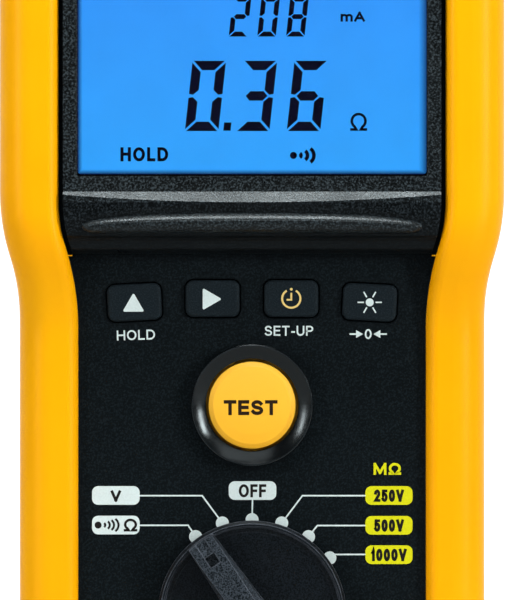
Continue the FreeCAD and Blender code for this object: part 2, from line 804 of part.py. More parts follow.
def battery_springs():
    springs = []
    for i in range(CELL_COUNT):
        side = plus_side(i)
        springs.append(cone_spring(V(-28.3 * side, CELL_Y, cell_z(i)), V(side, 0, 0)))
    return springs


def battery_plates():
    plates = []
    for i in range(CELL_COUNT):
        far = rod_x(CELL_Y, cell_z(i), 5.0, 28.1, 28.6)
        near = rod_x(CELL_Y, cell_z(i), 3.2, 25.2, 28.1).cut(rod_x(CELL_Y, cell_z(i), 2.4, 25.7, 28.2))
        tab = far.fuse(near)
        base = rod_x(CELL_Y, cell_z(i), 5.0, -28.6, -28.4)
        plates += [tab, base] if plus_side(i) > 0 else [mirrored(tab), mirrored(base)]
    return plates


def battery_cover():
    mid = (COVER_LOW + COVER_HIGH) / 2
    cover = rounded(0, mid, COVER_HALF, (COVER_HIGH - COVER_LOW) / 2, 6.0, COVER_SEAT, 27.8)
    cover = cover.makeFillet(0.5, [e for e in cover.Edges if e.BoundBox.YMin > 27.7])
    cuts = [rod_y(x, z, 1.55, 24, 30) for x, z in COVER_SCREWS]
    cuts += [rod_y(x, z, 3.0, 25.9, 30) for x, z in COVER_SCREWS]
    cuts += [box(-16, 16, 27.1, 30, 106 - 2.4 * i, 107.2 - 2.4 * i) for i in range(6)]
    return drop(cover, cuts)


def screw_head_slot(x, z, y0, y1):
    return box(x - 1.7, x + 1.7, y0, y1, z - 0.35, z + 0.35).fuse(box(x - 0.35, x + 0.35, y0, y1, z - 1.7, z + 1.7))


def battery_cover_screws():
    screws = []
    for x, z in COVER_SCREWS:
        screw = rod_y(x, z, 1.47, 16.0, 26.0).fuse(rod_y(x, z, 2.7, 25.9, 27.4))
        screws.append(screw.cut(screw_head_slot(x, z, 26.5, 28)))
    return screws


def case_screws():
    screws = []
    for x, z in CASE_SCREWS:
        screw = rod_y(x, z, 1.35, -8.0, 20.5).fuse(rod_y(x, z, 2.8, 20.0, 22.6))
        screws.append(screw.cut(screw_head_slot(x, z, 21.6, 23)))
    return screws


def stand_recess():
    half = STAND_HALF + 0.4
    recess = box(-half, half, 24.3, 40, STAND_LOW - 0.8, 191.6)
    hinge = box(-half, half, 22.9, 40, HINGE_Z - 3.4, 191.6)
    grip = box(-9, 9, 25.0, 40, STAND_LOW - 4.0, STAND_LOW)
    pins = [rod_x(HINGE_Y, HINGE_Z, 1.0, -half - 3, half + 3)]
    return join([recess, hinge, grip] + pins)


def tilt_stand():
    leaf = box(-STAND_HALF, STAND_HALF, 24.6, 27.4, STAND_LOW, HINGE_Z)
    barrel = rod_x(HINGE_Y, HINGE_Z, 2.2, -STAND_HALF, STAND_HALF)
    panel = rounded(0, 158, 19, 22, 4, 26.6, 30)
    relief = box(-15, 15, 20, 30, 184.5, 192)
    hole = rod_x(HINGE_Y, HINGE_Z, 1.04, -30, 30)
    return drop(join([leaf, barrel]), [panel, relief, hole])


def tilt_stand_pins():
    near = STAND_HALF - 9.0
    far = STAND_HALF + 3.4
    return [rod_x(HINGE_Y, HINGE_Z, 1.0, near, far), rod_x(HINGE_Y, HINGE_Z, 1.0, -far, -near)]


# ---- terminals -------------------------------------------------------------------------------------
def terminal_block():
    block = box(-BLOCK_HALF, BLOCK_HALF, -10, 14, 184, 209.2)
    cuts = [rod_z(s * SOCKET_X, SPLIT_Y, SOCKET_R + 0.05, SOCKET_LOW, 215) for s in (-1, 1)]
    cuts += [box(s * SOCKET_X - 2, s * SOCKET_X + 2, 1, 3, 180, 190) for s in (-1, 1)]
    rim = [e for e in block.Edges if e.BoundBox.ZMin > 209.1]
    return drop(block.makeChamfer(0.8, rim), cuts)


def socket_housing(side):
    x = side * SOCKET_X
    body = rod_z(x, SPLIT_Y, SOCKET_R, SOCKET_LOW, 210.4)
    body = body.makeFillet(0.6, [e for e in body.Edges if e.BoundBox.ZMin > 210.3])
    gap = rod_z(x, SPLIT_Y, 4.3, 189.0, 215).cut(rod_z(x, SPLIT_Y, 3.2, 188, 209.0))
    contact = rod_z(x, SPLIT_Y, 2.7, 180, 206.5)
    return drop(body, [gap, contact, rod_z(x, SPLIT_Y, PLUG_R, 206, 215)])


def socket_contacts():
    contacts = []
    for s in (-1, 1):
        tube = rod_z(s * SOCKET_X, SPLIT_Y, 2.7, SOCKET_LOW, 206.5)
        contacts.append(tube.cut(rod_z(s * SOCKET_X, SPLIT_Y, PLUG_R, 188.5, 215)))
    return contacts


def terminal_straps():
    straps = []
    for s in (-1, 1):
        x = s * SOCKET_X
        down = box(x - 1.6, x + 1.6, 1.6, 2.4, 178, SOCKET_LOW)
        across = box(x - 1.6, x + 1.6, BOARD_BACK, 2.4, 178, 178.8)
        foot = box(x - 1.6, x + 1.6, BOARD_BACK, BOARD_BACK + 0.8, 173, 178.8)
        straps.append(join([down, across, foot]))
    return straps


# ---- everything --------------------------------------------------------------------------------------
PARTS = {
    "front_bumper": front_bumper,
    "rear_bumper": rear_bumper,
    "rear_feet": rear_feet,
    "front_housing": front_housing,
    "rear_housing": rear_housing,
    "case_gasket": gasket_groove,
    "case_screws": case_screws,
    "display_surround": display_surround,
    "display_window": window_pane,
    "lcd_glass": lcd_glass,
    "backlight_guide": backlight_guide,
    "lcd_frame": lcd_frame,
    "zebra_strip": zebra_strip,
    "display_board": display_board,
    "board_connector": board_connector,
    "keypad_mat": keypad_mat,
    "key_domes": key_domes,
    "test_button": test_button,
    "test_guard_ring": test_guard_ring,
    "test_button_spring": test_button_spring,
    "test_switch": test_switch,
    "rotary_knob": rotary_knob,
    "knob_clip": knob_clip,
    "knob_seal": knob_seal,
    "detent_ring": detent_ring,
    "switch_rotor": switch_rotor,
    "detent_balls": detent_balls,
    "detent_springs": detent_springs,
    "switch_wipers": switch_wipers,
    "switch_tracks": switch_tracks,
    "main_board": main_board,
    "board_screws": board_screws,
    "transformer_core": transformer_core,
    "transformer_winding": transformer_winding,
    "relays": relays,
    "capacitors": capacitors,
    "integrated_circuits": integrated_circuits,
    "buzzer": buzzer,
    "fuse": fuse,
    "fuse_clips": fuse_clips,
    "battery_holder": battery_holder,
    "battery_cells": battery_cells,
    "battery_springs": battery_springs,
    "battery_plates": battery_plates,
    "battery_cover": battery_cover,
    "battery_cover_seal": seal_ring,
    "battery_cover_screws": battery_cover_screws,
    "tilt_stand": tilt_stand,
    "tilt_stand_pins": tilt_stand_pins,
    "terminal_block": terminal_block,
    "socket_contacts": socket_contacts,
    "terminal_straps": terminal_straps,
}

os.makedirs("parts", exist_ok=True)
for part_name, maker in PARTS.items():
    save(part_name, maker())
for key_name, key_x, key_z, key_tilt in KEYS:
    save(key_name, key(key_name, key_x, key_z, key_tilt))
save("socket_red", socket_housing(-1))
save("socket_black", socket_housing(1))
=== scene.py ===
"""Looks of the insulation resistance tester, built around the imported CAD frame. Metres throughout."""
import json
import math
import bmesh
import bpy
from mathutils import Matrix, Vector


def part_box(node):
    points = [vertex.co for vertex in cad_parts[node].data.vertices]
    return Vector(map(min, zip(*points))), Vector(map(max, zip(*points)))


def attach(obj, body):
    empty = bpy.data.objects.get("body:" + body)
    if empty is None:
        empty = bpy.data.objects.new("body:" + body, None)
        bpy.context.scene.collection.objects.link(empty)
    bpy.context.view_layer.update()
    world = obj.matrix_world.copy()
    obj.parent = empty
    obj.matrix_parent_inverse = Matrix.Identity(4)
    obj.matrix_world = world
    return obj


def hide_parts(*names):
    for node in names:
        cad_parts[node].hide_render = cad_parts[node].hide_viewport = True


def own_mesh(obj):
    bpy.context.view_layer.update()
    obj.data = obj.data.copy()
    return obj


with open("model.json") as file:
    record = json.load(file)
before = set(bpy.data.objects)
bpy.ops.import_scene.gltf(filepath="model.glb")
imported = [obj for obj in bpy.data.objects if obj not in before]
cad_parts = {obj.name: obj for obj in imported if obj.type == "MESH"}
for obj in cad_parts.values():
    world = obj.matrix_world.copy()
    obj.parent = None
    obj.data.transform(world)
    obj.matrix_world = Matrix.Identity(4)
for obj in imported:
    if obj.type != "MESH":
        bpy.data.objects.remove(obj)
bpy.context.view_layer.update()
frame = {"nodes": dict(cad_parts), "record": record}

MM = 0.001
NODES = frame["nodes"]

# Levels and places read from the frame.
PANEL_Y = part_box("test_guard_ring")[1].y
GLASS_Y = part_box("lcd_glass")[0].y
KNOB = (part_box("rotary_knob")[0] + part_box("rotary_knob")[1]) / 2
TEST = (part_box("test_button")[0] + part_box("test_button")[1]) / 2
KNOB_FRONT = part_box("rotary_knob")[0].y

# The angle between switch positions, the thickness of the print, the thickness of the display's figures
# and the button's word, and how deep the key symbols sit in their keys.
DETENT = math.radians(18)
PRINT = 0.03 * MM
FILM = 0.05 * MM
SUNK = 0.005 * MM

# The faint cool tint of reflections in dark plastic.
COOL_SHEEN = (0.84, 0.97, 1.0)

# The display frame: its window, the ridge below it, and the hood's face, which lies at
# y = HOOD_FACE_Y - HOOD_LEAN * z.
WINDOW_HALF, WINDOW_FOOT, WINDOW_HEAD = 37.25 * MM, 146.83 * MM, 197.45 * MM
RIDGE_Z = 141.2 * MM
HOOD_FACE_Y = 13.66 * MM
HOOD_LEAN = 0.3


# ---- mesh tools -----------------------------------------------------------------------------
def clean_mesh(name, bm):
    bmesh.ops.remove_doubles(bm, verts=bm.verts, dist=1e-7)
    bmesh.ops.recalc_face_normals(bm, faces=bm.faces)
    mesh = bpy.data.meshes.new(name)
    bm.to_mesh(mesh)
    bm.free()
    return mesh


def add_object(name, mesh, material, body):
    piece = bpy.data.objects.new(name, mesh)
    bpy.context.scene.collection.objects.link(piece)
    mesh.materials.clear()
    mesh.materials.append(material)
    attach(piece, body)
    return piece


def prism(bm, points, y_back, thickness):
    """A flat printed shape: (x, z) points pulled forward from y_back by thickness."""
    back = [bm.verts.new((x, y_back, z)) for x, z in points]
    front = [bm.verts.new((x, y_back - thickness, z)) for x, z in points]
    bm.faces.new(back)
    bm.faces.new(front[::-1])
    for i in range(len(points)):
        j = (i + 1) % len(points)
        bm.faces.new((back[i], back[j], front[j], front[i]))


def circle_points(x, z, r, count=40, start=0.0, end=2 * math.pi):
    closed = abs(end - start) >= 2 * math.pi - 1e-6
    steps = count if closed else count - 1
    angles = [start + (end - start) * i / steps for i in range(count)]
    return [(x + r * math.cos(a), z + r * math.sin(a)) for a in angles]


def pill_points(x, z, half_w, half_h, r):
    corners = ((1, 1, 0), (-1, 1, 1), (-1, -1, 2), (1, -1, 3))
    points = []
    for sx, sz, quarter in corners:
        start = quarter * math.pi / 2
        end = start + math.pi / 2
        points += circle_points(x + sx * (half_w - r), z + sz * (half_h - r), r, 7, start, end)
    return points


def strip(bm, left, right, y_back, thickness):
    """A flat printed ribbon between two matching rows of (x, z) points."""
    rows = []
    for points in (left, right):
        rows.append([bm.verts.new((x, y_back, z)) for x, z in points])
        rows.append([bm.verts.new((x, y_back - thickness, z)) for x, z in points])
    left_back, left_front, right_back, right_front = rows
    for i in range(len(left) - 1):
        j = i + 1
        bm.faces.new((left_front[i], left_front[j], right_front[j], right_front[i]))
        bm.faces.new((left_back[i], right_back[i], right_back[j], left_back[j]))
        bm.faces.new((left_back[i], left_back[j], left_front[j], left_front[i]))
        bm.faces.new((right_back[i], right_front[i], right_front[j], right_back[j]))
    for i in (0, len(left) - 1):
        bm.faces.new((left_back[i], left_front[i], right_front[i], right_back[i]))


def finely(route, step):
    """The same route with points no further apart than step."""
    points = [tuple(route[0])]
    for start, end in zip(route, route[1:]):
        gap = Vector(end) - Vector(start)
        count = max(1, math.ceil(gap.length / step))
        points += [tuple(Vector(start) + gap * (i + 1) / count) for i in range(count)]
    return points


def band(bm, route, width, y_back, thickness):
    """A printed line of even width along (x, z) points, mitred where it bends."""
    closed = (Vector(route[0]) - Vector(route[-1])).length < 1e-7
    last = len(route) - 1
    left, right = [], []
    for i, point in enumerate(route):
        here = Vector(point)
        before = Vector(route[i - 1]) if i > 0 else Vector(route[last - 1])
        after = Vector(route[i + 1]) if i < last else Vector(route[1])
        first = (here - before).normalized() if i > 0 or closed else (after - here).normalized()
        second = (after - here).normalized() if i < last or closed else first
        normal = Vector((-(first + second).y, (first + second).x)).normalized()
        reach = width / 2 / max(normal.dot(Vector((-first.y, first.x))), 0.3)
        left.append(tuple(here + normal * reach))
        right.append(tuple(here - normal * reach))
    strip(bm, left, right, y_back, thickness)


def arc_band(bm, x, z, r, width, start, end, y_back, thickness, count=24):
    outer = circle_points(x, z, r + width / 2, count, start, end)
    inner = circle_points(x, z, r - width / 2, count, start, end)
    strip(bm, outer, inner, y_back, thickness)


def bow(cx, cz, rx, rz, start, end, count=13):
    """Points on part of an ellipse, angles in degrees, either way round."""
    points = []
    for i in range(count):
        a = math.radians(start + (end - start) * i / (count - 1))
        points.append((cx + rx * math.cos(a), cz + rz * math.sin(a)))
    return points


# Each glyph: width over cap height, then its pen strokes in a unit box.
GLYPHS = {
    "T": (0.72, [[(0, 1), (1, 1)], [(0.5, 1), (0.5, 0)]]),
    "E": (0.64, [[(1, 1), (0, 1), (0, 0), (1, 0)], [(0, 0.52), (0.92, 0.52)]]),
    "S": (0.70, [bow(0.5, 0.76, 0.46, 0.24, 22, 262) + bow(0.5, 0.25, 0.5, 0.25, 82, -158)]),
    "O": (0.84, [bow(0.5, 0.5, 0.5, 0.5, 90, 450, 33)]),
    "F": (0.60, [[(1, 1), (0, 1), (0, 0)], [(0, 0.5), (0.9, 0.5)]]),
    "H": (0.74, [[(0, 0), (0, 1)], [(1, 0), (1, 1)], [(0, 0.52), (1, 0.52)]]),
    "L": (0.58, [[(0, 1), (0, 0), (1, 0)]]),
    "D": (0.76, [[(0, 0), (0, 1)] + bow(0.42, 0.5, 0.58, 0.5, 90, -90) + [(0, 0)]]),
    "U": (0.74, [[(0, 1)] + bow(0.5, 0.36, 0.5, 0.36, 180, 360) + [(1, 1)]]),
    "P": (0.68, [[(0, 0), (0, 1)] + bow(0.58, 0.73, 0.42, 0.27, 90, -90) + [(0, 0.46)]]),
    "V": (0.76, [[(0, 1), (0.5, 0.02)], [(1, 1), (0.5, 0.02)]]),
    "M": (0.90, [[(0, 0), (0, 1)], [(1, 0), (1, 1)], [(0.04, 0.96), (0.5, 0.10)],
                 [(0.96, 0.96), (0.5, 0.10)]]),
    "A": (0.80, [[(0, 0), (0.5, 0.98)], [(1, 0), (0.5, 0.98)], [(0.18, 0.3), (0.82, 0.3)]]),
    "m": (0.90, [[(0, 0), (0, 0.7)], bow(0.25, 0.48, 0.25, 0.22, 180, 0) + [(0.5, 0)],
                 bow(0.75, 0.48, 0.25, 0.22, 180, 0) + [(1, 0)]]),
    "0": (0.62, [bow(0.5, 0.5, 0.5, 0.5, 90, 450, 33)]),
    "1": (0.36, [[(0, 0.74), (0.6, 0.82), (0.85, 1), (0.85, 0)]]),
    "2": (0.62, [bow(0.5, 0.71, 0.48, 0.29, 170, -28) + [(0.06, 0.02), (1, 0)]]),
    "5": (0.62, [[(0.9, 1), (0.16, 1), (0.08, 0.50)] + bow(0.47, 0.34, 0.53, 0.34, 128, -150)]),
    "-": (0.36, [[(0, 0.36), (1, 0.36)]]),
    "Ω": (0.88, [[(0, 0), (0.34, 0)] + bow(0.5, 0.55, 0.48, 0.45, 235, -55, 25) + [(0.66, 0), (1, 0)]]),
}


def square_ended(route, reach):
    """The route with both ends carried on by reach, so that its strokes end square."""
    first, second = Vector(route[0]), Vector(route[1])
    last, before = Vector(route[-1]), Vector(route[-2])
    start = first + (first - second).normalized() * reach
    end = last + (last - before).normalized() * reach
    return [tuple(start)] + route[1:-1] + [tuple(end)]


def lettering(bm, text, x, z, height, y_back, thickness, width=None, weight=0.15, turn=0.0, gap=0.15):
    """Sans-serif letters and figures drawn with one pen width, centred on x, z; height is a capital's."""
    natural = sum(GLYPHS[c][0] for c in text) + gap * (len(text) - 1)
    stretch = width / (natural * height) if width else 1.0
    pen = weight * height
    spin = Matrix.Rotation(turn, 2)
    left = -natural * height * stretch / 2
    for c in text:
        wide = GLYPHS[c][0] * height * stretch
        for layer, stroke in enumerate(GLYPHS[c][1]):
            route = [(left + pen / 2 + u * (wide - pen), pen / 2 + v * (height - pen) - height / 2)
                     for u, v in stroke]
            closed = (Vector(route[0]) - Vector(route[-1])).length < 1e-7
            route = finely(route if closed else square_ended(route, pen / 2), 0.3 * MM)
            placed = [tuple(Vector((x, z)) + spin @ Vector(p)) for p in route]
            band(bm, placed, pen, y_back, thickness * (1 + 0.05 * layer))
        left += wide + gap * height * stretch


# ---- material tools ---------------------------------------------------------------------------
class Shade:
    """A node material with the shared pieces that every surface here uses."""

    def __init__(self, name, rough, metal=0.0):
        self.material = bpy.data.materials.new(name)
        self.material.use_nodes = True
        self.tree = self.material.node_tree
        self.bsdf = self.tree.nodes["Principled BSDF"]
        self.bsdf.inputs["Roughness"].default_value = rough
        self.bsdf.inputs["Metallic"].default_value = metal
        self.place = self.node("ShaderNodeTexCoord").outputs["Object"]

    def node(self, kind, **values):
        made = self.tree.nodes.new(kind)
        for key, value in values.items():
            setattr(made, key, value)
        return made

    def link(self, source, target):
        self.tree.links.new(source, target)

    def noise(self, size, detail=3.0, rough=0.55):
        """Noise with features about size metres across."""
        noise = self.node("ShaderNodeTexNoise")
        noise.inputs["Scale"].default_value = 1.0 / size
        noise.inputs["Detail"].default_value = detail
        noise.inputs["Roughness"].default_value = rough
        self.link(self.place, noise.inputs["Vector"])
        return noise.outputs["Fac"]

    def ranged(self, source, low, high, to_low, to_high):
        remap = self.node("ShaderNodeMapRange")
        for socket, value in zip(("From Min", "From Max", "To Min", "To Max"), (low, high, to_low, to_high)):
            remap.inputs[socket].default_value = value
        self.link(source, remap.inputs["Value"])
        return remap.outputs["Result"]

    def mix(self, factor, first, second):
        mix = self.node("ShaderNodeMix", data_type="RGBA")
        for source, socket in ((factor, mix.inputs[0]), (first, mix.inputs[6]), (second, mix.inputs[7])):
            if isinstance(source, (tuple, list)):
                socket.default_value = (*source[:3], 1.0)
            elif isinstance(source, float):
                socket.default_value = source
            else:
                self.link(source, socket)
        return mix.outputs[2]

    def math(self, operation, first, second):
        node = self.node("ShaderNodeMath", operation=operation)
        for source, socket in ((first, node.inputs[0]), (second, node.inputs[1])):
            if isinstance(source, (int, float)):
                socket.default_value = source
            else:
                self.link(source, socket)
        return node.outputs[0]

    def split(self):
        axes = self.node("ShaderNodeSeparateXYZ")
        self.link(self.place, axes.inputs[0])
        return axes.outputs

    def edges(self, radius, full=0.80):
        """0 on flats, 1 where the rounded normal has turned so far that its cosine is full."""
        soft = self.node("ShaderNodeBevel", samples=4)
        soft.inputs["Radius"].default_value = radius
        true = self.node("ShaderNodeNewGeometry")
        dot = self.node("ShaderNodeVectorMath", operation="DOT_PRODUCT")
        self.link(soft.outputs["Normal"], dot.inputs[0])
        self.link(true.outputs["Normal"], dot.inputs[1])
        return self.ranged(dot.outputs["Value"], 0.998, full, 0.0, 1.0), soft.outputs["Normal"]

    def relief(self, height, strength, depth, under=None):
        bump = self.node("ShaderNodeBump")
        bump.inputs["Strength"].default_value = strength
        bump.inputs["Distance"].default_value = depth
        self.link(height, bump.inputs["Height"])
        if under is not None:
            self.link(under, bump.inputs["Normal"])
        return bump.outputs["Normal"]

    def finish(self, color=None, rough=None, normal=None):
        if color is not None:
            self.link(color, self.bsdf.inputs["Base Color"])
        if rough is not None:
            self.link(rough, self.bsdf.inputs["Roughness"])
        if normal is not None:
            self.link(normal, self.bsdf.inputs["Normal"])
        return self.material


def lighter(color, factor):
    return tuple(min(1.0, c * factor) for c in color)


def moulded(name, color, rough=0.45, grain=0.25 * MM, depth=0.02 * MM, speckle=0.15, edge=0.25 * MM, edge_wear_and_highlight=1.9,
            strength=0.6, shine=0.35):
    """Moulded plastic or rubber: fine grain, faint colour drift, edges lighter: rubbing wear at small
    factors, a painted highlight at a large one.
    """
    s = Shade(name, rough)
    s.bsdf.inputs["Specular IOR Level"].default_value = shine
    s.bsdf.inputs["Specular Tint"].default_value = (*COOL_SHEEN, 1.0)
    drift = s.ranged(s.noise(14 * MM, 2.0), 0.3, 0.7, 0.0, 1.0)
    tone = s.mix(drift, lighter(color, 0.93), lighter(color, 1.07))
    fine = s.noise(grain, 1.0, 0.6)
    tone = s.mix(s.ranged(fine, 0.34, 0.52, speckle, 0.0), tone, (0.0, 0.0, 0.0))
    tone = s.mix(s.ranged(fine, 0.50, 0.68, 0.0, speckle), tone, lighter(color, 6.0))
    # Lighter edges: rubbing wear at small factors, a painted highlight at the large factor given for the
    # guard ring.
    edge_mask, soft = s.edges(edge)
    tone = s.mix(s.math("MULTIPLY", edge_mask, s.ranged(s.noise(3 * MM), 0.35, 0.65, 0.35, 0.9)), tone,
                 lighter(color, edge_wear_and_highlight))
    roughness = s.ranged(s.noise(5 * MM), 0.3, 0.7, rough - 0.06, rough + 0.08)
    return s.finish(tone, roughness, s.relief(fine, strength, depth, soft))


def surround_material():
    """Display frame: grain with painted glints; painted shade on the hood face and the window opening;
    painted highlights on edges.
    """
    s = Shade("surround_grey", 0.33)
    s.bsdf.inputs["Specular Tint"].default_value = (*COOL_SHEEN, 1.0)
    place = s.split()
    bezel = s.ranged(place[2], RIDGE_Z - 0.1 * MM, RIDGE_Z + 0.1 * MM, 0.0, 1.0)
    hood_face = s.math("SUBTRACT", HOOD_FACE_Y, s.math("MULTIPLY", place[2], HOOD_LEAN))
    proud = s.math("SUBTRACT", hood_face, place[1])
    raised = s.math("MAXIMUM", bezel, s.ranged(proud, 0.1 * MM, 0.7 * MM, 0.0, 1.0))
    coarse = s.math("MAXIMUM", s.ranged(place[2], 141.5 * MM, 144.5 * MM, 0.0, 1.0),
                    s.math("MULTIPLY", s.ranged(place[2], 134.0 * MM, 136.0 * MM, 0.3, 1.0),
                           s.ranged(raised, 0.0, 1.0, 0.75, 0.9)))
    fine = s.noise(0.42 * MM, 1.0, 0.6)
    drift = s.ranged(s.noise(14 * MM, 2.0), 0.3, 0.7, 0.0, 1.0)
    # Painted shade: the hood face, off the bezel and the bead, gets a darker base tone and weaker reflection,
    # standing in for the shade under the ridge.
    shaded_hood_tone = s.mix(drift, (0.0028, 0.0040, 0.0048), (0.0034, 0.0047, 0.0056))
    tone = s.mix(raised, shaded_hood_tone, (0.0062, 0.0084, 0.0096))
    tone = s.mix(s.math("MULTIPLY", s.ranged(fine, 0.34, 0.52, 1.0, 0.0), coarse), tone, (0.0, 0.0, 0.0))
    # Painted glints: bright specks on the grain, brighter on the bezel and the bead.
    bright = s.mix(raised, (0.021, 0.028, 0.033), (0.036, 0.049, 0.056))
    tone = s.mix(s.math("MULTIPLY", s.ranged(fine, 0.50, 0.68, 0.0, 1.0), coarse), tone, bright)
    # Painted highlight: lighter thin edges, standing in for light catching them.
    edge_mask, soft = s.edges(0.1 * MM)
    tone = s.mix(s.math("MULTIPLY", edge_mask, s.ranged(s.noise(3 * MM), 0.35, 0.65, 0.35, 0.9)), tone,
                 (0.0114, 0.0156, 0.0179))
    # Painted shade: the walls and lower bevel of the window opening go near black and lose their reflection.
    mouth_shade = window_mouth_shade(s, place)
    shine = s.math("MULTIPLY", s.ranged(raised, 0.0, 1.0, 0.09, 0.21), s.ranged(mouth_shade, 0.0, 1.0, 1.0, 0.0))
    s.link(shine, s.bsdf.inputs["Specular IOR Level"])
    tone = s.mix(mouth_shade, tone, (0.0010, 0.0012, 0.0016))
    roughness = s.ranged(s.noise(5 * MM), 0.3, 0.7, 0.27, 0.41)
    return s.finish(tone, roughness, s.relief(s.math("MULTIPLY", fine, coarse), 1.0, 0.07 * MM, soft))


def window_mouth_shade(s, place):
    """1 on the walls and lower bevel of the window opening, where the frame is painted near black as shade, 0
    elsewhere.
    """
    across = s.math("LESS_THAN", s.math("ABSOLUTE", place[0], 0.0), WINDOW_HALF)
    above = s.math("GREATER_THAN", place[2], WINDOW_FOOT)
    below = s.math("LESS_THAN", place[2], WINDOW_HEAD)
    return s.math("MULTIPLY", across, s.math("MULTIPLY", above, below))


def bumper_material():
    """Yellow elastomer: smooth satin with a very fine texture, a slow drift in tone and paler edges."""
    s = Shade("bumper_yellow", 0.30)
    drift = s.ranged(s.noise(30 * MM, 2.0), 0.3, 0.7, 0.0, 1.0)
    tone = s.mix(drift, (0.97, 0.405, 0.0008), (0.98, 0.44, 0.0012))
    edge_mask, soft = s.edges(0.5 * MM)
    tone = s.mix(s.math("MULTIPLY", edge_mask, 0.5), tone, (1.0, 0.58, 0.015))
    fine = s.noise(0.18 * MM, 2.0, 0.5)
    roughness = s.ranged(s.noise(6 * MM), 0.3, 0.7, 0.31, 0.38)
    s.bsdf.inputs["Specular IOR Level"].default_value = 0.07
    return s.finish(tone, roughness, s.relief(fine, 0.25, 0.01 * MM, soft))


def metal_material(name, color, rough):
    """Bare metal with patchy tone, fine grain and edges rubbed bright."""
    s = Shade(name, rough, 1.0)
    tone = s.mix(s.ranged(s.noise(2 * MM), 0.3, 0.7, 0.0, 1.0), lighter(color, 0.8), lighter(color, 1.1))
    fine = s.noise(0.15 * MM, 3.0, 0.7)
    edge_mask, soft = s.edges(0.1 * MM)
    tone = s.mix(s.math("MULTIPLY", edge_mask, 0.6), tone, lighter(color, 1.4))
    roughness = s.ranged(fine, 0.3, 0.7, rough - 0.08, rough + 0.12)
    return s.finish(tone, roughness, s.relief(fine, 0.3, 0.01 * MM, soft))


def lcd_material():
    """Backlit blue glass: bright and even, a little greener low down, and navy near its edges as painted
    shade of the window's recess.
    """
    s = Shade("lcd_blue", 0.25)
    s.bsdf.inputs["Specular IOR Level"].default_value = 0.1
    axes = s.split()
    # Painted shade from the window's recess: the glow darkens to navy near the edges, over a wider band on
    # the right.
    left = s.math("SUBTRACT", axes[0], -37.3 * MM)
    right = s.math("MULTIPLY", s.math("SUBTRACT", 37.6 * MM, axes[0]), 0.55)
    from_foot = s.math("SUBTRACT", axes[2], 147.2 * MM)
    from_top = s.math("SUBTRACT", 197.4 * MM, axes[2])
    near = s.math("MINIMUM", s.math("MINIMUM", left, right), s.math("MINIMUM", from_foot, from_top))
    hue = s.mix(s.ranged(axes[2], 147 * MM, 197 * MM, 0.0, 1.0), (0.028, 0.350, 0.95), (0.030, 0.275, 0.93))
    hue = s.mix(s.ranged(near, 0.1 * MM, 1.1 * MM, 0.0, 1.0), (0.002, 0.006, 0.060), hue)
    s.link(hue, s.bsdf.inputs["Emission Color"])
    s.link(s.ranged(s.noise(12 * MM, 2.0), 0.3, 0.7, 0.97, 1.03), s.bsdf.inputs["Emission Strength"])
    s.bsdf.inputs["Base Color"].default_value = (0.01, 0.03, 0.06, 1.0)
    fine = s.noise(0.1 * MM)
    return s.finish(None, s.ranged(fine, 0.3, 0.7, 0.2, 0.3), s.relief(fine, 0.1, 0.002 * MM))


def clear_material(name, tint, rough=0.03):
    """Clear plastic or glass, very slightly scuffed."""
    s = Shade(name, rough)
    s.bsdf.inputs["Transmission Weight"].default_value = 1.0
    s.bsdf.inputs["IOR"].default_value = 1.2
    tone = s.mix(s.ranged(s.noise(20 * MM), 0.3, 0.7, 0.0, 1.0), tint, lighter(tint, 0.985))
    scuff = s.ranged(s.noise(1.5 * MM, 6.0), 0.55, 0.8, rough, rough + 0.04)
    return s.finish(tone, scuff)


def ink_material(name, color, rough=0.55):
    """Screen-printed ink with a slightly uneven film."""
    s = Shade(name, rough)
    s.bsdf.inputs["Specular IOR Level"].default_value = 0.08
    film = s.noise(0.4 * MM, 3.0)
    tone = s.mix(s.ranged(film, 0.35, 0.65, 0.0, 1.0), lighter(color, 0.95), lighter(color, 1.03))
    roughness = s.ranged(film, 0.3, 0.7, rough - 0.05, rough + 0.1)
    return s.finish(tone, roughness, s.relief(film, 0.3, 0.004 * MM))


def knob_material():
    """Black plastic, satin on the disc; a stronger grain on the raised bar, whose lighter tone is a painted
    sheen; painted highlights on edges.
    """
    s = Shade("knob_black", 0.42)
    s.bsdf.inputs["Specular IOR Level"].default_value = 0.12
    s.bsdf.inputs["Specular Tint"].default_value = (*COOL_SHEEN, 1.0)
    # Painted sheen: the bar's top gets a much lighter grain tone than the disc, standing in for light
    # catching it.
    bar = s.ranged(s.split()[1], KNOB_FRONT + 2.6 * MM, KNOB_FRONT + 1.9 * MM, 0.0, 1.0)
    coarse = s.ranged(s.noise(0.32 * MM, 1.0, 0.6), 0.36, 0.66, 0.0, 1.0)
    disc = s.mix(coarse, (0.0004, 0.0008, 0.0014), (0.0075, 0.0105, 0.0145))
    top = s.mix(coarse, (0.000, 0.001, 0.002), (0.046, 0.058, 0.072))
    tone = s.mix(bar, disc, top)
    # Painted highlight: thin light lines along the rim and the bar's edges.
    edge_mask, soft = s.edges(0.3 * MM, 0.96)
    tone = s.mix(s.math("MULTIPLY", edge_mask, s.ranged(s.noise(2 * MM), 0.35, 0.65, 0.4, 1.0)), tone,
                 (0.12, 0.14, 0.17))
    roughness = s.ranged(s.noise(5 * MM), 0.3, 0.7, 0.38, 0.50)
    return s.finish(tone, roughness, s.relief(coarse, 0.5, 0.02 * MM, soft))


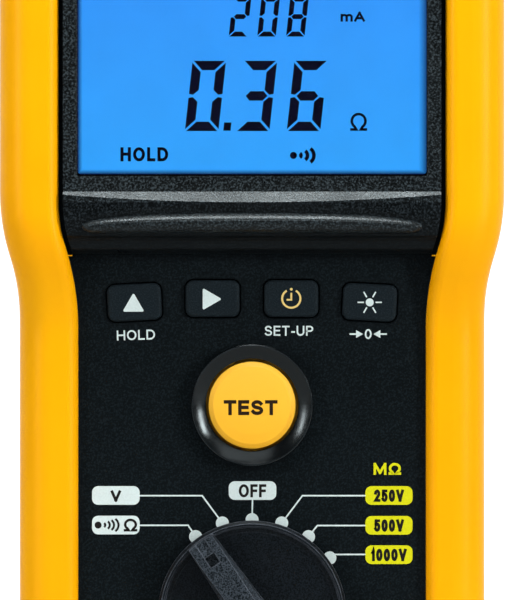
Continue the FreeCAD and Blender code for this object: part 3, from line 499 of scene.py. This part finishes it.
def test_cap_material():
    """Orange cap, paler at its edge, with a fine moulding texture and painted light from above that makes it
    paler towards its top.
    """
    s = Shade("test_orange", 0.45)
    s.bsdf.inputs["Specular IOR Level"].default_value = 0.15
    axes = s.split()
    # Painted light from above: the cap grows a little paler towards its top.
    up = s.ranged(axes[2], TEST.z - 9 * MM, TEST.z + 9 * MM, 0.0, 1.0)
    tone = s.mix(up, (0.95, 0.475, 0.022), (0.955, 0.52, 0.048))
    fine = s.noise(0.15 * MM, 2.0)
    tone = s.mix(s.ranged(fine, 0.5, 0.8, 0.0, 0.15), tone, (1.0, 0.66, 0.10))
    edge_mask, soft = s.edges(0.35 * MM)
    tone = s.mix(s.math("MULTIPLY", edge_mask, 0.5), tone, (1.0, 0.64, 0.08))
    roughness = s.ranged(s.noise(4 * MM), 0.3, 0.7, 0.34, 0.44)
    return s.finish(tone, roughness, s.relief(fine, 0.3, 0.008 * MM, soft))


def board_material():
    """Green circuit board with darker and lighter tracks under the lacquer."""
    s = Shade("board_green", 0.35)
    tracks = s.ranged(s.noise(1.2 * MM, 4.0), 0.48, 0.52, 0.0, 1.0)
    tone = s.mix(tracks, (0.006, 0.09, 0.03), (0.012, 0.15, 0.05))
    fine = s.noise(0.3 * MM)
    return s.finish(tone, s.ranged(fine, 0.3, 0.7, 0.3, 0.42), s.relief(fine, 0.2, 0.01 * MM))


MATERIALS = {
    "bumper_yellow": bumper_material(),
    "foot_rubber": moulded("foot_rubber", (0.012, 0.013, 0.014), 0.7),
    "case_black": moulded("case_black", (0.0036, 0.0056, 0.0068), 0.50, 0.4 * MM, 0.012 * MM, 0.25,
                          shine=0.05),
    "surround_grey": surround_material(),
    "knob_black": knob_material(),
    # The guard ring's large edge factor paints a highlight on its rim, standing in for light catching it.
    "guard_gloss": moulded("guard_gloss", (0.0022, 0.0030, 0.0036), 0.18, 0.5 * MM, 0.002 * MM, 0.05,
                           edge=0.15 * MM, edge_wear_and_highlight=30.0, shine=0.30),
    "test_orange": test_cap_material(),
    "key_rubber": moulded("key_rubber", (0.0068, 0.0110, 0.0140), 0.55, 0.3 * MM, 0.01 * MM, 0.2, 0.4 * MM,
                          2.0, shine=0.08),
    "mat_rubber": moulded("mat_rubber", (0.10, 0.10, 0.11), 0.7),
    "window_clear": clear_material("window_clear", (1.0, 1.0, 1.0)),
    "lcd_blue": lcd_material(),
    "light_guide": moulded("light_guide", (0.8, 0.83, 0.87), 0.3, edge_wear_and_highlight=1.05),
    "inner_plastic": moulded("inner_plastic", (0.04, 0.04, 0.045), 0.5),
    "zebra_rubber": moulded("zebra_rubber", (0.55, 0.25, 0.27), 0.6, edge_wear_and_highlight=1.1),
    "board_green": board_material(),
    "steel": metal_material("steel", (0.55, 0.55, 0.56), 0.32),
    "spring_steel": metal_material("spring_steel", (0.48, 0.49, 0.50), 0.25),
    "brass": metal_material("brass", (0.80, 0.56, 0.20), 0.25),
    "seal_rubber": moulded("seal_rubber", (0.02, 0.02, 0.022), 0.7),
    "ferrite": moulded("ferrite", (0.05, 0.05, 0.055), 0.6),
    "winding_tape": moulded("winding_tape", (0.75, 0.50, 0.06), 0.4, edge_wear_and_highlight=1.1),
    "relay_blue": moulded("relay_blue", (0.03, 0.10, 0.35), 0.4),
    "capacitor_can": moulded("capacitor_can", (0.05, 0.08, 0.20), 0.35),
    "chip_black": moulded("chip_black", (0.015, 0.015, 0.017), 0.5),
    "fuse_glass": clear_material("fuse_glass", (0.97, 0.99, 0.99)),
    "cell_wrap": moulded("cell_wrap", (0.05, 0.16, 0.10), 0.3),
    "cover_black": moulded("cover_black", (0.010, 0.012, 0.014), 0.5, 0.35 * MM, 0.03 * MM, 0.2),
    "terminal_black": moulded("terminal_black", (0.010, 0.011, 0.013), 0.45),
    "terminal_red": moulded("terminal_red", (0.52, 0.010, 0.010), 0.32, edge_wear_and_highlight=1.3),
}
INK_WHITE = ink_material("ink_white", (0.64, 0.75, 0.74))
INK_YELLOW = ink_material("ink_yellow", (0.66, 0.66, 0.008))
INK_BLACK = ink_material("ink_black", (0.012, 0.011, 0.010))
INK_ORANGE = ink_material("ink_orange", (0.78, 0.58, 0.20))
INK_BROWN = ink_material("ink_brown", (0.022, 0.012, 0.006))
LCD_DARK = ink_material("lcd_dark", (0.001, 0.001, 0.014), 0.4)


def dress_cad_nodes():
    """Give every CAD node the material of the slot that the record names for it."""
    for entry in frame["record"]["subparts"]:
        node = NODES[entry["node"]]
        node.data.materials.clear()
        node.data.materials.append(MATERIALS[entry["material_slot"]])


# ---- printed markings on the face ----------------------------------------------------------------
LEFT_X, RIGHT_X = -29.2 * MM, 29.35 * MM
ROWS = {"V": 78.5 * MM, "ohm": 72.15 * MM, "250V": 78.5 * MM, "500V": 72.1 * MM, "1000V": 65.8 * MM}
LEFT_PILL = (5.1 * MM, 2.0 * MM, 1.3 * MM)
RIGHT_PILL = (5.05 * MM, 2.0 * MM, 1.3 * MM)
OFF_X, OFF_Z = 0.1 * MM, 79.55 * MM
DOT_RING = 20.6 * MM
PANEL_ARCS = ((1.74, 0.85), (2.72, 1.55), (3.63, 2.1), (4.60, 2.65))
DISPLAY_ARCS = ((2.0, 0.9), (3.4, 1.9), (4.77, 2.9))


def detent_point(step, r):
    """Face position at radius r for a switch position; step 0 is straight up."""
    a = step * DETENT
    return KNOB.x + r * math.sin(a), KNOB.z + r * math.cos(a)


def leader(bm, start, bend, step):
    end = detent_point(step, DOT_RING)
    route = [start, bend, end] if bend else [start, end]
    band(bm, route, 0.32 * MM, PANEL_Y, PRINT)


def white_print():
    bm = bmesh.new()
    for x, z in ((LEFT_X, ROWS["V"]), (LEFT_X, ROWS["ohm"]), (OFF_X, OFF_Z)):
        prism(bm, pill_points(x, z, *LEFT_PILL), PANEL_Y, PRINT)
    left, right = LEFT_X + LEFT_PILL[0], RIGHT_X - RIGHT_PILL[0]
    lift = 0.05 * MM
    leader(bm, (left, ROWS["V"] - lift), (-10.7 * MM, ROWS["V"] - lift), -1)
    leader(bm, (left, ROWS["ohm"] - lift), (-13.7 * MM, ROWS["ohm"] - lift), -2)
    leader(bm, (OFF_X, OFF_Z - LEFT_PILL[1]), None, 0)
    leader(bm, (right, ROWS["250V"] - lift), (10.8 * MM, ROWS["250V"] - lift), 1)
    leader(bm, (right, ROWS["500V"] - lift), (14.0 * MM, ROWS["500V"] - lift), 2)
    leader(bm, (right, ROWS["1000V"] + lift), (17.5 * MM, ROWS["1000V"] + lift), 3)
    for step in range(-2, 4):
        x, z = detent_point(step, DOT_RING - 0.3 * MM if step == 0 else DOT_RING)
        prism(bm, circle_points(x, z, 1.4 * MM), PANEL_Y, PRINT * 1.2)
    lettering(bm, "HOLD", -24.9 * MM, 112.9 * MM, 2.15 * MM, PANEL_Y, PRINT, 8.2 * MM, 0.16, 0.03)
    lettering(bm, "SET-UP", 7.9 * MM, 113.8 * MM, 2.15 * MM, PANEL_Y, PRINT, 10.4 * MM, 0.16)
    zero_mark(bm, 24.9 * MM, 113.1 * MM)
    add_object("print_white", clean_mesh("print_white", bm), INK_WHITE, "case")


def zero_mark(bm, x, z):
    """An arrow on each side pointing at a nought."""
    lettering(bm, "0", x, z, 2.15 * MM, PANEL_Y, PRINT, 1.45 * MM, 0.16)
    for side in (-1, 1):
        near = x + side * 1.1 * MM
        far = x + side * 4.0 * MM
        band(bm, [(near + side * 0.4 * MM, z), (far, z)], 0.34 * MM, PANEL_Y, PRINT)
        head = [(near, z), (near + side * 1.5 * MM, z + 0.85 * MM), (near + side * 1.5 * MM, z - 0.85 * MM)]
        prism(bm, head, PANEL_Y, PRINT * 1.1)


def yellow_print():
    bm = bmesh.new()
    for row in ("250V", "500V", "1000V"):
        prism(bm, pill_points(RIGHT_X, ROWS[row], *RIGHT_PILL), PANEL_Y, PRINT)
    lettering(bm, "MΩ", 29.0 * MM, 84.2 * MM, 2.55 * MM, PANEL_Y, PRINT, 5.9 * MM, 0.21)
    add_object("print_yellow", clean_mesh("print_yellow", bm), INK_YELLOW, "case")


def black_print():
    bm = bmesh.new()
    top = PANEL_Y - PRINT
    lettering(bm, "V", LEFT_X, ROWS["V"] - 0.15 * MM, 2.45 * MM, top, PRINT, 2.2 * MM, 0.24)
    lettering(bm, "OFF", OFF_X, OFF_Z - 0.05 * MM, 2.8 * MM, top, PRINT, 5.9 * MM, 0.2, gap=0.12)
    for row, width in (("250V", 6.4), ("500V", 6.4), ("1000V", 7.6)):
        lettering(bm, row, RIGHT_X, ROWS[row] - 0.05 * MM, 2.65 * MM, top, PRINT, width * MM, 0.23, gap=0.10)
    sounder_mark(bm, LEFT_X - 3.8 * MM, ROWS["ohm"], PANEL_ARCS, 0.46, top)
    lettering(bm, "Ω", LEFT_X + 3.14 * MM, ROWS["ohm"], 2.75 * MM, top, PRINT, 2.9 * MM, 0.19)
    add_object("print_black", clean_mesh("print_black", bm), INK_BLACK, "case")


def sounder_mark(bm, x, z, arcs, pen, y_back):
    """A dot with growing arcs, the usual sign for a sounder; arcs lists each one's outer reach and height."""
    prism(bm, circle_points(x, z, 0.75 * MM, 28), y_back, PRINT)
    for reach, height in arcs:
        r = height / (2 * math.sin(math.radians(55)))
        middle = x + (reach - pen / 2 - r) * MM
        arc_band(bm, middle, z, r * MM, pen * MM, math.radians(-55), math.radians(55), y_back, PRINT, 14)


# ---- key symbols and the button's word ---------------------------------------------------------------
def key_front(name):
    low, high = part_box(name)
    return (low.x + high.x) / 2, low.y, (low.z + high.z) / 2


def soft_triangle(x, z, reach, aim):
    """A triangle with softened corners, pointing along the angle aim."""
    points = []
    for i in range(3):
        a = aim + i * 2 * math.pi / 3
        cx, cz = x + reach * math.cos(a), z + reach * math.sin(a)
        points += circle_points(cx, cz, 0.25 * MM, 6, a - math.pi / 3, a + math.pi / 3)
    return points


def key_symbols():
    x, y, z = key_front("key_up")
    bm = bmesh.new()
    prism(bm, soft_triangle(x - 0.2 * MM, z - 0.65 * MM, 2.2 * MM, math.pi / 2), y + SUNK, PRINT)
    add_object("symbol_up", clean_mesh("symbol_up", bm), INK_WHITE, "key_up")
    x, y, z = key_front("key_right")
    bm = bmesh.new()
    prism(bm, soft_triangle(x - 0.75 * MM, z - 0.1 * MM, 2.25 * MM, 0.0), y + SUNK, PRINT)
    add_object("symbol_right", clean_mesh("symbol_right", bm), INK_WHITE, "key_right")
    x, y, z = key_front("key_timer")
    bm = bmesh.new()
    arc_band(bm, x, z, 1.95 * MM, 0.42 * MM, math.radians(120), math.radians(420), y + SUNK, PRINT, 48)
    hands = [(x, z + 1.25 * MM), (x, z - 0.25 * MM), (x - 1.0 * MM, z - 0.25 * MM)]
    band(bm, hands, 0.38 * MM, y + SUNK, PRINT)
    prism(bm, circle_points(x, z + 2.0 * MM, 0.3 * MM, 16), y + SUNK, PRINT)
    add_object("symbol_timer", clean_mesh("symbol_timer", bm), INK_ORANGE, "key_timer")
    x, y, z = key_front("key_light")
    bm = bmesh.new()
    prism(bm, circle_points(x, z, 0.85 * MM, 28), y + SUNK, PRINT)
    for i in range(6):
        a = i * math.pi / 3
        near = (x + 1.25 * MM * math.cos(a), z + 1.25 * MM * math.sin(a))
        far = (x + 2.6 * MM * math.cos(a), z + 2.6 * MM * math.sin(a))
        band(bm, [near, far], 0.3 * MM, y + SUNK, PRINT)
    add_object("symbol_light", clean_mesh("symbol_light", bm), INK_WHITE, "key_light")


def button_word():
    """The button's word is pressed into its slightly domed top, so it follows the dome's height."""
    bm = bmesh.new()
    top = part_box("test_button")[0].y
    lettering(bm, "TEST", TEST.x - 0.3 * MM, TEST.z - 0.5 * MM, 3.2 * MM, 0.0, FILM, 11.5 * MM, 0.235,
              gap=0.10)
    for v in bm.verts:
        r = math.hypot(v.co.x - TEST.x, v.co.z - TEST.z) / MM
        v.co.y += top + dome_drop(r) * MM + 0.02 * MM
    add_object("button_word", clean_mesh("button_word", bm), INK_BROWN, "test_button")


def dome_drop(r):
    """How far the button's top falls below its crown at radius r, both in millimetres."""
    profile = ((0.0, 0.0), (3.5, 0.06), (6.3, 0.24), (8.3, 0.5))
    for (r0, d0), (r1, d1) in zip(profile, profile[1:]):
        if r <= r1:
            return d0 + (d1 - d0) * (r - r0) / (r1 - r0)
    return profile[-1][1]


def button_coil():
    """The coil shortens by the button's travel of 1.6 mm; a copy of it with its own mesh stands for it, and
    the CAD coil is hidden.
    """
    mesh = NODES["test_button_spring"].data.copy()
    coil = add_object("button_coil", mesh, MATERIALS["spring_steel"], "case")
    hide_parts("test_button_spring")
    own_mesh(coil)


# ---- display contents ---------------------------------------------------------------------------
SEGMENTS = {"0": "abcdef", "2": "abged", "3": "abgcd", "6": "afgedc", "8": "abcdefg"}


def segment_digit(bm, digit, x, z, width, height, stroke, slant, y_back):
    """A seven-segment digit with mitred bars; x, z is its lower left corner before slanting."""
    gap = stroke * 0.13
    half = stroke / 2
    mid = height / 2
    bars = {
        "a": [(gap, height), (width - gap, height), (width - stroke - gap, height - stroke),
              (stroke + gap, height - stroke)],
        "d": [(gap, 0), (stroke + gap, stroke), (width - stroke - gap, stroke), (width - gap, 0)],
        "g": [(half + gap, mid), (stroke + gap * 0.6, mid + half), (width - stroke - gap * 0.6, mid + half),
              (width - half - gap, mid), (width - stroke - gap * 0.6, mid - half),
              (stroke + gap * 0.6, mid - half)],
        "f": [(0, height - gap * 1.6), (stroke, height - stroke - gap * 1.6), (stroke, mid + half + gap),
              (half * 0.9, mid + gap), (0, mid + gap * 1.6)],
        "e": [(0, gap * 1.6), (0, mid - gap * 1.6), (half * 0.9, mid - gap), (stroke, mid - half - gap),
              (stroke, stroke + gap * 1.6)],
    }
    bars["b"] = [(width - px, pz) for px, pz in bars["f"]]
    bars["c"] = [(width - px, pz) for px, pz in bars["e"]]
    for bar in SEGMENTS[digit]:
        prism(bm, [(x + px + pz * slant, z + pz) for px, pz in bars[bar]], y_back, FILM)


def display_contents():
    bm = bmesh.new()
    y = GLASS_Y
    slant = math.tan(math.radians(6.3))
    for digit, left in (("0", -14.35), ("3", -3.45), ("6", 7.4)):
        segment_digit(bm, digit, left * MM, 156.47 * MM, 7.15 * MM, 15.0 * MM, 2.0 * MM, slant, y)
    foot, head = 156.55 * MM, 158.3 * MM
    prism(bm, [(-6.15 * MM, foot), (-4.6 * MM, foot), (-4.4 * MM, head), (-5.95 * MM, head)], y, FILM)
    for digit, left in (("2", -5.0), ("0", 1.1), ("8", 7.25)):
        segment_digit(bm, digit, left * MM, 176.65 * MM, 3.95 * MM, 8.5 * MM, 1.05 * MM, slant, y)
    lettering(bm, "mA", 21.5 * MM, 180.9 * MM, 2.15 * MM, y, FILM, 5.2 * MM, 0.23, gap=0.10)
    lettering(bm, "Ω", 22.75 * MM, 158.45 * MM, 3.85 * MM, y, FILM, 3.6 * MM, 0.145)
    lettering(bm, "HOLD", -23.0 * MM, 151.5 * MM, 3.0 * MM, y, FILM, 10.2 * MM, 0.22)
    sounder_mark(bm, 8.83 * MM, 151.27 * MM, DISPLAY_ARCS, 0.78, y)
    bar_graph(bm, y)
    battery_mark(bm, y)
    add_object("lcd_segments", clean_mesh("lcd_segments", bm), LCD_DARK, "case")


def bar_graph(bm, y):
    """A plain scale with ticks along the top of the display."""
    left, right, base = -30 * MM, 30 * MM, 191.0 * MM
    band(bm, [(left, base), (right, base)], 0.35 * MM, y, FILM)
    for i in range(31):
        x = left + (right - left) * i / 30
        tall = 2.6 if i % 5 == 0 else 1.5
        band(bm, [(x, base + 0.1 * MM), (x, base + tall * MM)], 0.4 * MM, y, FILM)


def battery_mark(bm, y):
    """A battery outline with three bars in it and a stub at its end."""
    x, z, w, h = -27 * MM, 187.3 * MM, 3.0 * MM, 1.5 * MM
    outer = [(x - w, z - h), (x + w, z - h), (x + w, z + h), (x - w, z + h), (x - w, z - h)]
    for first, second in zip(outer, outer[1:]):
        band(bm, [first, second], 0.45 * MM, y, FILM)
    for i in range(3):
        cx = x + (i - 1) * 1.75 * MM
        prism(bm, pill_points(cx, z, 0.6 * MM, 0.95 * MM, 0.1 * MM), y, FILM)
    prism(bm, pill_points(x + w + 0.6 * MM, z, 0.35 * MM, 0.7 * MM, 0.1 * MM), y, FILM)


# ---- studio ------------------------------------------------------------------------------------------
def studio_material():
    """Matt pale floor that turns into a lit white backdrop from 0.35 m to 1.1 m behind the tester."""
    s = Shade("studio_white", 0.8)
    tone = s.mix(s.ranged(s.noise(0.4, 2.0), 0.3, 0.7, 0.0, 1.0), (0.40, 0.40, 0.40), (0.42, 0.42, 0.42))
    far = s.ranged(s.split()[1], 0.35, 1.1, 0.0, 1.0)
    s.bsdf.inputs["Emission Color"].default_value = (1.0, 1.0, 1.0, 1.0)
    s.link(far, s.bsdf.inputs["Emission Strength"])
    return s.finish(tone)


def floor_and_wall():
    """A pale floor that curves up far behind the tester."""
    bm = bmesh.new()
    half, front, back, bend, top = 14.0, -12.0, 5.0, 2.0, 9.0
    section = [(front, 0.0), (back - bend, 0.0)]
    section += [(back - bend + bend * math.sin(i * math.pi / 24), bend - bend * math.cos(i * math.pi / 24))
                for i in range(1, 13)]
    section += [(back, top)]
    rows = [[bm.verts.new((x, y, z)) for y, z in section] for x in (-half, half)]
    for i in range(len(section) - 1):
        bm.faces.new((rows[0][i], rows[1][i], rows[1][i + 1], rows[0][i + 1]))
    mesh = bpy.data.meshes.new("studio_floor")
    bm.to_mesh(mesh)
    bm.free()
    mesh.materials.append(studio_material())
    floor = bpy.data.objects.new("studio_floor", mesh)
    bpy.context.scene.collection.objects.link(floor)


def soft_light(name, place, aim, width, height, watts):
    data = bpy.data.lights.new(name, "AREA")
    data.shape = "RECTANGLE"
    data.size = width
    data.size_y = height
    data.energy = watts
    light = bpy.data.objects.new(name, data)
    light.location = place
    light.rotation_mode = "QUATERNION"
    light.rotation_quaternion = (Vector(aim) - Vector(place)).to_track_quat("-Z", "Y")
    bpy.context.scene.collection.objects.link(light)


def sky():
    """Soft white all round, dimmer where the face looks, so that dark plastics stay dark."""
    world = bpy.data.worlds.new("studio_sky")
    world.use_nodes = True
    tree = world.node_tree
    aim = tree.nodes.new("ShaderNodeTexCoord")
    axes = tree.nodes.new("ShaderNodeSeparateXYZ")
    ramp = tree.nodes.new("ShaderNodeMapRange")
    tree.links.new(aim.outputs["Generated"], axes.inputs[0])
    tree.links.new(axes.outputs["Y"], ramp.inputs["Value"])
    for socket, value in (("From Min", -0.2), ("From Max", 0.9), ("To Min", 0.05), ("To Max", 0.7)):
        ramp.inputs[socket].default_value = value
    background = tree.nodes["Background"]
    background.inputs["Color"].default_value = (1.0, 1.0, 1.0, 1.0)
    tree.links.new(ramp.outputs["Result"], background.inputs["Strength"])
    bpy.context.scene.world = world


def lights():
    aim = (0, 0, 0.12)
    soft_light("key_left", (-1.0, -0.8, 0.42), aim, 0.10, 0.50, 5.2)
    soft_light("key_right", (1.0, -0.8, 0.42), aim, 0.17, 0.50, 9.5)
    soft_light("top_soft", (0.0, -0.22, 1.2), aim, 0.42, 0.28, 14.0)
    soft_light("front_fill", (0.2, -1.1, 1.25), aim, 1.4, 0.7, 6.5)


def camera():
    """Square on to the face, close in on the upper part of the tester, long lens."""
    data = bpy.data.cameras.new("camera")
    distance = 1.2
    face_depth = 0.0225
    seen_height = 128.3 * MM
    data.sensor_width = 36.0
    data.lens = data.sensor_width * (distance - face_depth) / seen_height
    data.clip_end = 100.0
    eye = bpy.data.objects.new("camera", data)
    eye.location = (0.2 * MM, -distance, 120.4 * MM)
    eye.rotation_euler = (math.pi / 2, 0, 0)
    bpy.context.scene.collection.objects.link(eye)
    bpy.context.scene.camera = eye


dress_cad_nodes()
white_print()
yellow_print()
black_print()
key_symbols()
button_word()
button_coil()
display_contents()
floor_and_wall()
sky()
lights()
camera()
bpy.context.scene.view_settings.view_transform = "Standard"
